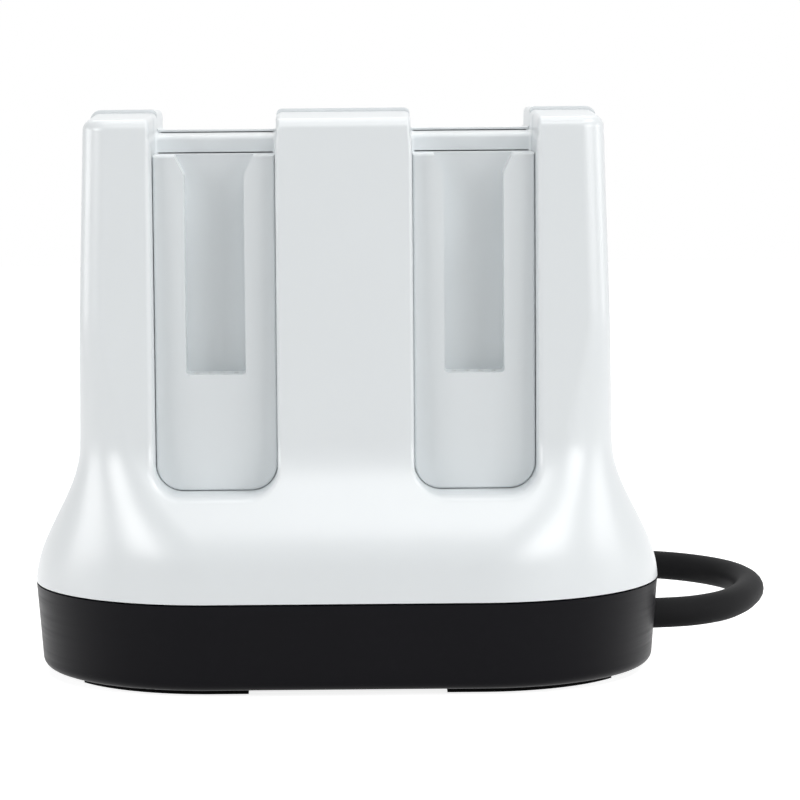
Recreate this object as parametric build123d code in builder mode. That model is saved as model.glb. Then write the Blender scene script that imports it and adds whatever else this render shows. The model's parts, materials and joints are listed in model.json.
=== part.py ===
from build123d import *
import os
from math import cos, pi, radians, sin, tan

# Two-bay controller charging dock. Millimetres, +Z up, the front faces -Y.
# The origin lies on the table under the middle of the dock.

# Outer form of the housing
RIM_WIDTH = 105.2
RIM_DEPTH = 62.0
END_FLAT = 1.0
TOP_WIDTH = 84.8
TOP_DEPTH = 41.6
TOP_CORNER = 4.0
BODY_TOP = 94.0
SIDE_FLARE_TOP = 39.4
FRONT_FLARE_TOP = 41.0
FRONT_FLARE_END = 20.5
DRAFT = 0.03
TOP_ROUND = 1.8
HOUSING_WALL = 2.0
PARTING_GAP = 0.2

# Base tray and feet
FOOT_HEIGHT = 0.9
FOOT_RECESS = 0.6
FOOT_INSET = 3.2
FOOT_WIDTH = 7.0
FOOT_LENGTH = 27.6
FOOT_END_INSET = 8.8
FOOT_END_Y = 8.0
FOOT_CLEARANCE = 0.1
SEAM_Z = 15.4
SEAM_GAP = 0.3
BASE_TAPER = 1.1
BASE_WALL = 3.0
BASE_FLOOR = 2.0
BASE_ROUND = 1.8
LIP_ROOT = 2.0
LIP_HEIGHT = 2.6
LIP_WALL = 1.2
LIP_CLEARANCE = 0.15

# Bays, notches and crossbars
PILLAR_WIDTH = 22.2
BAY_WIDTH = 20.2
BAY_BOTTOM = 32.2
BAY_CORNER = 4.5
BAY_FLOOR_DEPTH = 13.0
BAY_SOFT_EDGE = 1.1
NOTCH_DEPTH = 3.4
CROSSBAR_ROUND = 0.8
REAR_NOTCH_EDGE = 0.6
WINDOW_WIDTH = 7.0
WINDOW_HEIGHT = 9.0
WINDOW_RISE = 7.0

# Bay panels and their rail slots
PANEL_GAP = 0.15
PANEL_SETBACK = 3.0
PANEL_HEIGHT = 55.0
PANEL_WALL = 1.8
PANEL_EDGE = 0.4
SLOT_WIDTH = 9.8
SLOT_LENGTH = 35.9
SLOT_DEPTH = 6.4
SLOT_CORNER = 0.6
FUNNEL_WIDTH = 13.0
FUNNEL_HEIGHT = 3.2
PANEL_SCREW_SPACING = 12.0
PANEL_SCREW_RISE = 4.6
PANEL_SCREW_LENGTH = 8.0
PANEL_BOSS_DIAMETER = 4.6

# Contacts in each bay
CONTACT_COUNT = 4
CONTACT_PITCH = 2.2
CONTACT_DIAMETER = 0.9
CONTACT_SINK = 0.2
CONTACT_CLEARANCE = 0.05
BLOCK_WIDTH = 11.0
BLOCK_DEPTH = 4.6
BLOCK_HEIGHT = 4.0
CONTACT_BOARD_WIDTH = 13.0
CONTACT_BOARD_DEPTH = 6.4
CONTACT_BOARD_THICKNESS = 1.2

# Screws
SCREW_HEAD_DIAMETER = 4.4
SCREW_HEAD_HEIGHT = 1.5
SCREW_SHANK = 2.2
SCREW_CLEARANCE = 0.1
SCREW_HEAD_CLEARANCE = 0.4
SCREW_RECESS_LENGTH = 2.6
SCREW_RECESS_WIDTH = 0.6
SCREW_RECESS_DEPTH = 0.7

# Housing bosses and the columns of the base that they stand on
BOSS_X = 33.0
BOSS_Y = 18.5
BOSS_DIAMETER = 7.0
BOSS_BOTTOM = 12.0
BOSS_TOP = 38.0
BOSS_ROOT = 0.5
COLUMN_DIAMETER = 8.0
COLUMN_SEAT = 2.4
BASE_SCREW_LENGTH = 9.0
SCREW_TIP_ROOM = 1.5

# Ballast plate and main board in the base
BALLAST_WIDTH = 54.0
BALLAST_DEPTH = 44.0
BALLAST_THICKNESS = 3.0
BALLAST_CORNER = 4.0
STAKE_X = 24.0
STAKE_DIAMETER = 4.0
STAKE_PROUD = 0.8
PLATE_CLEARANCE = 0.3
STANDOFF_X = 18.0
STANDOFF_Y = 11.0
STANDOFF_DIAMETER = 5.0
STANDOFF_HEIGHT = 5.6
MAIN_BOARD_WIDTH = 46.0
MAIN_BOARD_DEPTH = 30.0
MAIN_BOARD_THICKNESS = 1.6
MAIN_SCREW_LENGTH = 5.0
HEADER_LENGTH = 9.0
HEADER_WIDTH = 5.0
HEADER_HEIGHT = 5.0
HEADER_X = 10.0
HEADER_Y = 6.0
POWER_HEADER_X = 19.5
POWER_HEADER_Y = -1.0
HARNESS_DIAMETER = 2.2
MAIN_BOARD_CORNER = 1.5
CHIP_SIZE = 7.0
CHIP_X = -4.0
CHIP_Y = -5.0
CHIP_HEIGHT = 1.2
SMALL_CHIP_WIDTH = 4.0
SMALL_CHIP_DEPTH = 5.0
SMALL_CHIP_X = 7.0
SMALL_CHIP_LEFT_X = -12.0
SMALL_CHIP_Y = -10.0
INDUCTOR_SIZE = 6.0
INDUCTOR_X = 7.0
INDUCTOR_Y = -2.0
INDUCTOR_HEIGHT = 3.0
CAPACITOR_DIAMETER = 5.0
CAPACITOR_X = -18.0
CAPACITOR_Y = -1.0
CAPACITOR_HEIGHT = 5.5

# Power cord: out of the right side of the base, round to the rear, put away as a coil behind the dock
CORD_DIAMETER = 5.2
EXIT_ANGLE = 8.0
EXIT_Z = 7.5
EXIT_SINK = 0.4
EXIT_RUN = 5.0
BUSH_DIAMETER = 7.6
BUSH_CLEARANCE = 0.1
BUSH_FLANGE_DIAMETER = 11.0
BUSH_FLANGE_THICKNESS = 2.4
TAIL_LENGTH = 12.5
TAIL_WIRES_DIAMETER = 2.6
COIL_X = 4.0
COIL_MID_RADIUS = 28.0
COIL_TANGENT_Y = 58.4
COIL_LEAD_IN = 20.5
TIE_WIDTH = 4.0
TIE_THICKNESS = 0.8
TIE_CLEARANCE = 0.05
TIE_HEAD_WIDTH = 5.2
TIE_HEAD_HEIGHT = 5.0
TIE_HEAD_DEPTH = 2.6

# Plug at the cord's far end
PLUG_RELIEF_LENGTH = 7.0
PLUG_RELIEF_DIAMETER = 6.4
PLUG_RELIEF_RINGS = 3
PLUG_GRIP_LENGTH = 19.0
PLUG_GRIP_WIDTH = 16.0
PLUG_GRIP_HEIGHT = 8.4
PLUG_GRIP_CORNER = 2.2
PLUG_SHELL_LENGTH = 12.0
PLUG_SHELL_WIDTH = 12.0
PLUG_SHELL_HEIGHT = 4.5
PLUG_SHELL_WALL = 0.35
PLUG_TONGUE_HEIGHT = 1.9
PLUG_TONGUE_LENGTH = 11.2

# Places that follow from the sizes
LEFT, RIGHT = -1, 1
bay_x = (PILLAR_WIDTH + BAY_WIDTH) / 2
notch_floor = BODY_TOP - NOTCH_DEPTH
front_y = -TOP_DEPTH / 2
bay_floor_y = front_y + BAY_FLOOR_DEPTH
panel_front_y = front_y + PANEL_SETBACK
panel_bottom = BAY_BOTTOM + PANEL_GAP
panel_top = panel_bottom + PANEL_HEIGHT
panel_inside_y = panel_front_y + PANEL_WALL
slot_floor_y = panel_front_y + SLOT_DEPTH
slot_bottom = panel_top - SLOT_LENGTH
ledge_under = slot_bottom - PANEL_WALL
block_bottom = ledge_under - BLOCK_HEIGHT
contact_board_bottom = block_bottom - CONTACT_BOARD_THICKNESS
contact_y = panel_front_y + SLOT_DEPTH / 2
contact_hole = CONTACT_DIAMETER + 2 * CONTACT_CLEARANCE
screw_hole = SCREW_SHANK + 2 * SCREW_CLEARANCE
base_top = SEAM_Z - SEAM_GAP
floor_top = FOOT_HEIGHT + BASE_FLOOR
foot_mid_x = RIM_WIDTH / 2 - FOOT_END_INSET - FOOT_LENGTH / 2
screw_seat_z = BOSS_BOTTOM - COLUMN_SEAT
board_bottom = floor_top + STANDOFF_HEIGHT
board_top = board_bottom + MAIN_BOARD_THICKNESS
cord_radius = CORD_DIAMETER / 2
coil_y = COIL_TANGENT_Y + COIL_MID_RADIUS + cord_radius
upper_turn_z = 3 * cord_radius
lower_turn_z = cord_radius
plug_x = COIL_X - COIL_LEAD_IN
grip_x = plug_x - PLUG_RELIEF_LENGTH
shell_x = grip_x - PLUG_GRIP_LENGTH
plug_z = PLUG_GRIP_HEIGHT / 2


def smooth_step(t):
    """Rise from 0 to 1 that starts and ends level."""
    t = min(max(t, 0.0), 1.0)
    return t * t * (3 - 2 * t)


def side_flare(z):
    """Share of the flare at the ends that is reached at a height: 0 above it, 1 at the seam."""
    return smooth_step((SIDE_FLARE_TOP - z) / (SIDE_FLARE_TOP - SEAM_Z))


def front_flare(z):
    """Share of the flare at the front and the rear: it ends above the seam, in an upright rim."""
    return smooth_step((FRONT_FLARE_TOP - z) / (FRONT_FLARE_TOP - FRONT_FLARE_END))


def flared(top_size, rim_size, z, share):
    """Width or depth at a height: drafted walls that flare out to the rim."""
    drafted = top_size + 2 * DRAFT * (BODY_TOP - z)
    drafted_at_rim = top_size + 2 * DRAFT * (BODY_TOP - SEAM_Z)
    return drafted + (rim_size - drafted_at_rim) * share


def section_size(z):
    """Width and depth of the housing at a height."""
    width = flared(TOP_WIDTH, RIM_WIDTH, z, side_flare(z))
    depth = flared(TOP_DEPTH, RIM_DEPTH, z, front_flare(z))
    return width, depth


def section_corner(z):
    """Corner radius of the housing at a height: tight at the top, nearly half round at the rim."""
    rim_corner = (RIM_DEPTH - END_FLAT) / 2
    return TOP_CORNER + (rim_corner - TOP_CORNER) * (side_flare(z) + front_flare(z)) / 2


def housing_form(top, inset):
    """Solid of the housing's outside, or of its inside where the inset is the wall."""
    flare_steps = [SEAM_Z + (FRONT_FLARE_TOP - SEAM_Z) * i / 8 for i in range(9)]
    wall_steps = [FRONT_FLARE_TOP + (top - FRONT_FLARE_TOP) * i / 6 for i in range(1, 7)]
    with BuildPart() as form:
        for z in flare_steps + wall_steps:
            width, depth = section_size(z)
            with BuildSketch(Plane.XY.offset(z)):
                RectangleRounded(width - 2 * inset, depth - 2 * inset, max(section_corner(z) - inset, 0.5))
        loft()
    return form.part


def base_size(z):
    """Width and depth of the base tray's outside at a height; it tapers towards the table."""
    drop = BASE_TAPER * (base_top - z) / (base_top - FOOT_HEIGHT)
    return RIM_WIDTH - 2 * drop, RIM_DEPTH - 2 * drop


def base_outline(z, inset, mode=Mode.ADD):
    """Outline of the base at a height, set in from its outside, in the sketch at hand."""
    width, depth = base_size(z)
    RectangleRounded(width - 2 * inset, depth - 2 * inset, (depth - END_FLAT) / 2 - inset, mode=mode)


def base_form(bottom, top, inset):
    """Solid between two heights inside the base's outline."""
    with BuildPart() as form:
        for z in (bottom, top):
            with BuildSketch(Plane.XY.offset(z)):
                base_outline(z, inset)
        loft(ruled=True)
    return form.part


def bay_recess(side, grow, floor_y):
    """Upright recess of one bay, open to the front and the top; grow sets its walls outward."""
    with BuildPart() as recess:
        with BuildSketch(Plane.XZ.offset(-floor_y)) as outline:
            with Locations((side * bay_x, BAY_BOTTOM - grow)):
                Rectangle(BAY_WIDTH + 2 * grow, BODY_TOP, align=(Align.CENTER, Align.MIN))
            fillet(outline.vertices().group_by(Axis.Y)[0], BAY_CORNER + grow)
        extrude(amount=RIM_DEPTH)
    return recess.part


def notch(side, grow):
    """Gap between a post and the pillar, right through from front to rear."""
    with BuildPart() as gap:
        with BuildSketch(Plane.XY.offset(notch_floor - grow)):
            with Locations((side * bay_x, 0)):
                Rectangle(BAY_WIDTH + 2 * grow, 2 * RIM_DEPTH)
        extrude(amount=BODY_TOP)
    return gap.part


def upright(x, y, bottom, top, diameter):
    """Vertical cylinder between two heights."""
    with BuildPart() as post:
        with BuildSketch(Plane.XY.offset(bottom)):
            with Locations((x, y)):
                Circle(diameter / 2)
        extrude(amount=top - bottom)
    return post.part


def screw(seat, shank_length):
    """Pan-head screw along a plane's normal: the shank runs on from the seat, the head stands behind it."""
    with BuildPart() as body:
        with BuildSketch(seat):
            Circle(SCREW_SHANK / 2)
        extrude(amount=shank_length)
        with BuildSketch(seat.offset(-SCREW_HEAD_HEIGHT)):
            Circle(SCREW_HEAD_DIAMETER / 2)
        extrude(amount=SCREW_HEAD_HEIGHT)
        with BuildSketch(seat.offset(-SCREW_HEAD_HEIGHT)):
            Rectangle(SCREW_RECESS_LENGTH, SCREW_RECESS_WIDTH)
            Rectangle(SCREW_RECESS_WIDTH, SCREW_RECESS_LENGTH)
        extrude(amount=SCREW_RECESS_DEPTH, mode=Mode.SUBTRACT)
    return body.part


def bend_radii(points):
    """Largest arc that each corner's two runs leave room for."""
    radii = []
    for before, corner, after in zip(points, points[1:], points[2:]):
        run_in = Vector(*corner) - Vector(*before)
        run_out = Vector(*after) - Vector(*corner)
        half_turn = radians(run_in.get_angle(run_out)) / 2
        radii.append(0.45 * min(run_in.length, run_out.length) / tan(half_turn))
    return radii


def round_tube(points, diameter):
    """Round tube along straight runs joined by tangent arcs."""
    with BuildPart() as tube:
        with BuildLine() as route:
            FilletPolyline(*points, radius=bend_radii(points))
        with BuildSketch(Plane(route.line @ 0, z_dir=route.line % 0)):
            Circle(diameter / 2)
        sweep(path=route.line)
    return tube.part


os.makedirs("parts", exist_ok=True)
outer_form = housing_form(BODY_TOP, 0.0)
inner_form = housing_form(BODY_TOP - HOUSING_WALL, HOUSING_WALL)

# Space inside the housing: the inner form less the walls of the bays and of the notch floors
with BuildPart() as hollow:
    add(inner_form)
    for side in (LEFT, RIGHT):
        add(bay_recess(side, HOUSING_WALL, bay_floor_y + HOUSING_WALL), mode=Mode.SUBTRACT)
        add(notch(side, HOUSING_WALL), mode=Mode.SUBTRACT)

# Housing before it is parted: rounded top, with the two notches
with BuildPart() as shell:
    add(outer_form)
    fillet(shell.faces().sort_by(Axis.Z)[-1].edges(), TOP_ROUND)
    for side in (LEFT, RIGHT):
        add(notch(side, 0.0), mode=Mode.SUBTRACT)


def beside_a_bay(edge):
    """True for edges over a bay's width, its two side walls included."""
    return abs(abs(edge.center().X) - bay_x) < BAY_WIDTH / 2 + 0.05


def front_boss(side):
    """Screw boss beside a bay, rooted in the bay's wall but clear of the bay itself."""
    with BuildPart() as boss:
        add(upright(side * BOSS_X, -BOSS_Y, BOSS_BOTTOM, BOSS_TOP, BOSS_DIAMETER))
        add(bay_recess(side, BOSS_ROOT, bay_floor_y + BOSS_ROOT), mode=Mode.SUBTRACT)
    return boss.part


def boss_hole(side, y):
    """Hole for a base screw, up from the foot of a boss."""
    return upright(side * BOSS_X, y, BOSS_BOTTOM, BOSS_BOTTOM + BASE_SCREW_LENGTH + SCREW_TIP_ROOM, screw_hole)


# Front housing: two bays with soft edges, rounded crossbars, wire windows, screw holes and two bosses
with BuildPart() as front_housing:
    add(shell.part)
    split(bisect_by=Plane.XZ.offset(PARTING_GAP / 2), keep=Keep.TOP)
    for side in (LEFT, RIGHT):
        add(bay_recess(side, 0.0, bay_floor_y), mode=Mode.SUBTRACT)
    bay_rims = front_housing.edges().filter_by(beside_a_bay)
    bay_rims = bay_rims.filter_by_position(Axis.Z, BAY_BOTTOM - 0.1, BODY_TOP + 0.1)
    front_rims = bay_rims.filter_by(lambda edge: edge.center().Y < panel_front_y)
    top_rims = bay_rims.filter_by(lambda edge: edge.center().Z > BODY_TOP - 0.05)
    fillet(front_rims + top_rims, BAY_SOFT_EDGE)
    crossbars = front_housing.edges().filter_by(Axis.X).filter_by_position(Axis.Z, notch_floor - 0.1, notch_floor + 0.1)
    fillet(crossbars.filter_by_position(Axis.Y, bay_floor_y - 0.1, bay_floor_y + 0.1), CROSSBAR_ROUND)
    add(hollow.part, mode=Mode.SUBTRACT)
    for side in (LEFT, RIGHT):
        with BuildSketch(Plane.XZ.offset(-bay_floor_y - HOUSING_WALL)):
            with Locations((side * bay_x, BAY_BOTTOM + WINDOW_RISE)):
                Rectangle(WINDOW_WIDTH, WINDOW_HEIGHT, align=(Align.CENTER, Align.MIN))
            with Locations((side * bay_x, panel_bottom + PANEL_SCREW_RISE)):
                with GridLocations(PANEL_SCREW_SPACING, 0, 2, 1):
                    Circle(screw_hole / 2)
        extrude(amount=HOUSING_WALL, mode=Mode.SUBTRACT)
        add(front_boss(side))
        add(boss_hole(side, -BOSS_Y), mode=Mode.SUBTRACT)
front_housing.part.label = "front_housing"
export_step(front_housing.part, "parts/front_housing.step")

# Rear housing: plain back, two bosses inside
with BuildPart() as rear_housing:
    add(shell.part)
    split(bisect_by=Plane.XZ.offset(-PARTING_GAP / 2), keep=Keep.BOTTOM)
    rims = rear_housing.edges().filter_by(beside_a_bay).filter_by_position(Axis.Z, notch_floor + 0.1, BODY_TOP + 0.1)
    fillet(rims.filter_by(lambda edge: edge.center().Y > PARTING_GAP), REAR_NOTCH_EDGE)
    add(hollow.part, mode=Mode.SUBTRACT)
    for side in (LEFT, RIGHT):
        add(upright(side * BOSS_X, BOSS_Y, BOSS_BOTTOM, BOSS_TOP, BOSS_DIAMETER))
        add(boss_hole(side, BOSS_Y), mode=Mode.SUBTRACT)
rear_housing.part.label = "rear_housing"
export_step(rear_housing.part, "parts/rear_housing.step")


def bay_panel(side):
    """Panel that fills a bay: a hollow moulding with a rail slot, open at the top through a funnel."""
    width = BAY_WIDTH - 2 * PANEL_GAP
    depth = bay_floor_y - panel_front_y
    x = side * bay_x
    with BuildPart() as body:
        with BuildSketch(Plane.XZ.offset(-bay_floor_y)) as outline:
            with Locations((x, panel_bottom)):
                Rectangle(width, PANEL_HEIGHT, align=(Align.CENTER, Align.MIN))
            fillet(outline.vertices().group_by(Axis.Y)[0], BAY_CORNER - PANEL_GAP)
        extrude(amount=depth)
        front_face = body.faces().sort_by(Axis.Y)[0]
        fillet(front_face.edges(), PANEL_EDGE)
        with BuildSketch(Plane.XZ.offset(-bay_floor_y)) as room:
            with Locations((x, panel_bottom + PANEL_WALL)):
                Rectangle(width - 2 * PANEL_WALL, PANEL_HEIGHT - 2 * PANEL_WALL, align=(Align.CENTER, Align.MIN))
            fillet(room.vertices().group_by(Axis.Y)[0], BAY_CORNER - PANEL_GAP - PANEL_WALL)
        extrude(amount=depth - PANEL_WALL, mode=Mode.SUBTRACT)
        # Walls around the slot and its funnel, inside the panel
        with BuildSketch(Plane.XZ.offset(-slot_floor_y - PANEL_WALL)):
            with Locations((x, ledge_under)):
                Rectangle(SLOT_WIDTH + 2 * PANEL_WALL, panel_top - ledge_under, align=(Align.CENTER, Align.MIN))
            with Locations((x, panel_top)):
                Rectangle(
                    min(FUNNEL_WIDTH + 2 * PANEL_WALL, width),
                    FUNNEL_HEIGHT + PANEL_WALL,
                    align=(Align.CENTER, Align.MAX),
                )
        extrude(amount=SLOT_DEPTH + PANEL_WALL - PANEL_EDGE)
        with BuildSketch(Plane.XZ.offset(-slot_floor_y)) as slot:
            with Locations((x, slot_bottom)):
                Rectangle(SLOT_WIDTH, SLOT_LENGTH, align=(Align.CENTER, Align.MIN))
            fillet(slot.vertices().group_by(Axis.Y)[0], SLOT_CORNER)
            with BuildLine():
                Polyline(
                    (x - FUNNEL_WIDTH / 2, panel_top),
                    (x - SLOT_WIDTH / 2, panel_top - FUNNEL_HEIGHT),
                    (x + SLOT_WIDTH / 2, panel_top - FUNNEL_HEIGHT),
                    (x + FUNNEL_WIDTH / 2, panel_top),
                    close=True,
                )
            make_face()
        extrude(amount=SLOT_DEPTH, mode=Mode.SUBTRACT)
        # Bosses for the panel's screws
        with BuildSketch(Plane.XZ.offset(-bay_floor_y)):
            with Locations((x, panel_bottom + PANEL_SCREW_RISE)):
                with GridLocations(PANEL_SCREW_SPACING, 0, 2, 1):
                    Circle(PANEL_BOSS_DIAMETER / 2)
        extrude(amount=depth - PANEL_WALL)
        with BuildSketch(Plane.XZ.offset(-bay_floor_y)):
            with Locations((x, panel_bottom + PANEL_SCREW_RISE)):
                with GridLocations(PANEL_SCREW_SPACING, 0, 2, 1):
                    Circle(screw_hole / 2)
        extrude(amount=PANEL_SCREW_LENGTH - HOUSING_WALL + SCREW_CLEARANCE, mode=Mode.SUBTRACT)
        # Wells for the contacts in the slot's lower end
        with BuildSketch(Plane.XY.offset(ledge_under)):
            with Locations((x, contact_y)):
                with GridLocations(CONTACT_PITCH, 0, CONTACT_COUNT, 1):
                    Circle(contact_hole / 2)
        extrude(amount=PANEL_WALL, mode=Mode.SUBTRACT)
    return body.part


def contact_block(side):
    """Insulating block under the slot that holds the contacts."""
    x = side * bay_x
    with BuildPart() as body:
        with BuildSketch(Plane.XY.offset(block_bottom)):
            with Locations((x, panel_inside_y)):
                Rectangle(BLOCK_WIDTH, BLOCK_DEPTH, align=(Align.CENTER, Align.MIN))
            with Locations((x, contact_y)):
                with GridLocations(CONTACT_PITCH, 0, CONTACT_COUNT, 1):
                    Circle(contact_hole / 2, mode=Mode.SUBTRACT)
        extrude(amount=BLOCK_HEIGHT)
    return body.part


def contact_board(side):
    """Small board under the contact block."""
    x = side * bay_x
    with BuildPart() as body:
        with BuildSketch(Plane.XY.offset(contact_board_bottom)):
            with Locations((x, panel_inside_y)):
                Rectangle(CONTACT_BOARD_WIDTH, CONTACT_BOARD_DEPTH, align=(Align.CENTER, Align.MIN))
            with Locations((x, contact_y)):
                with GridLocations(CONTACT_PITCH, 0, CONTACT_COUNT, 1):
                    Circle(contact_hole / 2, mode=Mode.SUBTRACT)
        extrude(amount=CONTACT_BOARD_THICKNESS)
    return body.part


def contact_pins(side):
    """Row of contacts from the board up to just under the slot's lower end."""
    with BuildPart() as row:
        with BuildSketch(Plane.XY.offset(contact_board_bottom)):
            with Locations((side * bay_x, contact_y)):
                with GridLocations(CONTACT_PITCH, 0, CONTACT_COUNT, 1):
                    Circle(CONTACT_DIAMETER / 2)
        extrude(amount=slot_bottom - CONTACT_SINK - contact_board_bottom)
        fillet(row.faces().group_by(Axis.Z)[-1].edges(), CONTACT_DIAMETER / 3)
    return row.part


def harness(side):
    """Wires from the main board's header up through the bay's window to the contact board."""
    route = [
        (side * HEADER_X, HEADER_Y, board_top + HEADER_HEIGHT),
        (side * HEADER_X, HEADER_Y, board_top + HEADER_HEIGHT + 7.0),
        (side * (HEADER_X + bay_x) / 2, 2.5, BAY_BOTTOM - 1.0),
        (side * bay_x, bay_floor_y + HOUSING_WALL + 2.0, contact_board_bottom - 3.2),
        (side * bay_x, contact_y + 2.2, contact_board_bottom - 4.0),
        (side * bay_x, contact_y + 2.2, contact_board_bottom),
    ]
    return round_tube(route, HARNESS_DIAMETER)


with BuildPart() as bay_panel_left:
    add(bay_panel(LEFT))
bay_panel_left.part.label = "bay_panel_left"
export_step(bay_panel_left.part, "parts/bay_panel_left.step")

with BuildPart() as bay_panel_right:
    add(bay_panel(RIGHT))
bay_panel_right.part.label = "bay_panel_right"
export_step(bay_panel_right.part, "parts/bay_panel_right.step")

with BuildPart() as contact_block_left:
    add(contact_block(LEFT))
contact_block_left.part.label = "contact_block_left"
export_step(contact_block_left.part, "parts/contact_block_left.step")

with BuildPart() as contact_block_right:
    add(contact_block(RIGHT))
contact_block_right.part.label = "contact_block_right"
export_step(contact_block_right.part, "parts/contact_block_right.step")

with BuildPart() as contact_board_left:
    add(contact_board(LEFT))
contact_board_left.part.label = "contact_board_left"
export_step(contact_board_left.part, "parts/contact_board_left.step")

with BuildPart() as contact_board_right:
    add(contact_board(RIGHT))
contact_board_right.part.label = "contact_board_right"
export_step(contact_board_right.part, "parts/contact_board_right.step")

with BuildPart() as contact_pins_left:
    add(contact_pins(LEFT))
contact_pins_left.part.label = "contact_pins_left"
export_step(contact_pins_left.part, "parts/contact_pins_left.step")

with BuildPart() as contact_pins_right:
    add(contact_pins(RIGHT))
contact_pins_right.part.label = "contact_pins_right"
export_step(contact_pins_right.part, "parts/contact_pins_right.step")

with BuildPart() as wire_harness_left:
    add(harness(LEFT))
wire_harness_left.part.label = "wire_harness_left"
export_step(wire_harness_left.part, "parts/wire_harness_left.step")

with BuildPart() as wire_harness_right:
    add(harness(RIGHT))
wire_harness_right.part.label = "wire_harness_right"
export_step(wire_harness_right.part, "parts/wire_harness_right.step")

# Screws that hold the panels, driven forward from inside the housing
panel_screw_seats = [
    Plane(
        (
            side * bay_x + offset * PANEL_SCREW_SPACING / 2,
            bay_floor_y + HOUSING_WALL,
            panel_bottom + PANEL_SCREW_RISE,
        ),
        x_dir=(1, 0, 0),
        z_dir=(0, -1, 0),
    )
    for side in (LEFT, RIGHT)
    for offset in (-1, 1)
]
with BuildPart() as panel_screws:
    for seat in panel_screw_seats:
        add(screw(seat, PANEL_SCREW_LENGTH))
panel_screws.part.label = "panel_screws"
export_step(panel_screws.part, "parts/panel_screws.step")

# Cord's way out: square to the rounded end of the base
exit_width, exit_depth = base_size(EXIT_Z)
end_radius = (exit_depth - END_FLAT) / 2
exit_dir = Vector(cos(radians(EXIT_ANGLE)), sin(radians(EXIT_ANGLE)), 0)
exit_point = Vector(exit_width / 2 - end_radius, END_FLAT / 2, EXIT_Z) + exit_dir * end_radius
exit_plane = Plane(exit_point, z_dir=exit_dir)
bush_depth = BASE_WALL + BUSH_FLANGE_THICKNESS


def foot_strip(side, end, bottom, top, grow):
    """Curved strip under the base that follows its outline, with square-cut ends."""
    with BuildPart() as strip:
        with BuildSketch(Plane.XY.offset(bottom)):
            base_outline(FOOT_HEIGHT, FOOT_INSET - grow)
            base_outline(FOOT_HEIGHT, FOOT_INSET + FOOT_WIDTH + grow, Mode.SUBTRACT)
            with Locations((side * foot_mid_x, end * RIM_DEPTH / 2)):
                Rectangle(
                    FOOT_LENGTH + 2 * grow,
                    RIM_DEPTH - 2 * FOOT_END_Y + 2 * grow,
                    mode=Mode.INTERSECT,
                )
        extrude(amount=top - bottom)
    return strip.part


# Base tray: rounded floor, lip inside the housing, screw columns, plate stakes, board standoffs, cord hole
lip_top = SEAM_Z + LIP_HEIGHT
lip_width, lip_depth = section_size(lip_top)
rim_draw = max(RIM_WIDTH - lip_width, RIM_DEPTH - lip_depth)
lip_inset = HOUSING_WALL + LIP_CLEARANCE + rim_draw / 2
corner_columns = [(x, y) for x in (-BOSS_X, BOSS_X) for y in (-BOSS_Y, BOSS_Y)]
standoffs = [(x, y) for x in (-STANDOFF_X, STANDOFF_X) for y in (-STANDOFF_Y, STANDOFF_Y)]
stakes = [(-STAKE_X, 0), (STAKE_X, 0)]
with BuildPart() as base_tray:
    add(base_form(FOOT_HEIGHT, base_top, 0.0))
    fillet(base_tray.faces().sort_by(Axis.Z)[0].edges(), BASE_ROUND)
    add(base_form(floor_top, base_top, BASE_WALL), mode=Mode.SUBTRACT)
    with BuildSketch(Plane.XY.offset(base_top - LIP_ROOT)):
        base_outline(base_top, lip_inset)
        base_outline(base_top, lip_inset + LIP_WALL, Mode.SUBTRACT)
    extrude(amount=LIP_ROOT + SEAM_GAP + LIP_HEIGHT)
    with BuildSketch(Plane.XY.offset(FOOT_HEIGHT + BASE_FLOOR / 2)):
        with Locations(*corner_columns):
            Circle(COLUMN_DIAMETER / 2)
    extrude(amount=BOSS_BOTTOM - FOOT_HEIGHT - BASE_FLOOR / 2)
    with BuildSketch(Plane.XY.offset(FOOT_HEIGHT)):
        with Locations(*corner_columns):
            Circle(SCREW_HEAD_DIAMETER / 2 + SCREW_HEAD_CLEARANCE)
    extrude(amount=screw_seat_z - FOOT_HEIGHT, mode=Mode.SUBTRACT)
    with BuildSketch(Plane.XY.offset(screw_seat_z)):
        with Locations(*corner_columns):
            Circle(screw_hole / 2)
    extrude(amount=COLUMN_SEAT, mode=Mode.SUBTRACT)
    with BuildSketch(Plane.XY.offset(FOOT_HEIGHT + BASE_FLOOR / 2)):
        with Locations(*standoffs):
            Circle(STANDOFF_DIAMETER / 2)
    extrude(amount=BASE_FLOOR / 2 + STANDOFF_HEIGHT)
    with BuildSketch(Plane.XY.offset(board_bottom)):
        with Locations(*standoffs):
            Circle(screw_hole / 2)
    extrude(amount=MAIN_BOARD_THICKNESS - MAIN_SCREW_LENGTH - SCREW_CLEARANCE, mode=Mode.SUBTRACT)
    with BuildSketch(Plane.XY.offset(FOOT_HEIGHT + BASE_FLOOR / 2)):
        with Locations(*stakes):
            Circle(STAKE_DIAMETER / 2)
    extrude(amount=BASE_FLOOR / 2 + BALLAST_THICKNESS + STAKE_PROUD)
    for side in (LEFT, RIGHT):
        for end in (-1, 1):
            add(
                foot_strip(side, end, FOOT_HEIGHT, FOOT_HEIGHT + FOOT_RECESS, FOOT_CLEARANCE),
                mode=Mode.SUBTRACT,
            )
    with BuildSketch(exit_plane.offset(-bush_depth)):
        Circle(BUSH_DIAMETER / 2 + BUSH_CLEARANCE)
    extrude(amount=2 * bush_depth, mode=Mode.SUBTRACT)
base_tray.part.label = "base_tray"
export_step(base_tray.part, "parts/base_tray.step")

# Rubber feet in the recesses of the tray
with BuildPart() as foot_front_left:
    add(foot_strip(LEFT, -1, 0.0, FOOT_HEIGHT + FOOT_RECESS, 0.0))
foot_front_left.part.label = "foot_front_left"
export_step(foot_front_left.part, "parts/foot_front_left.step")

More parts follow.
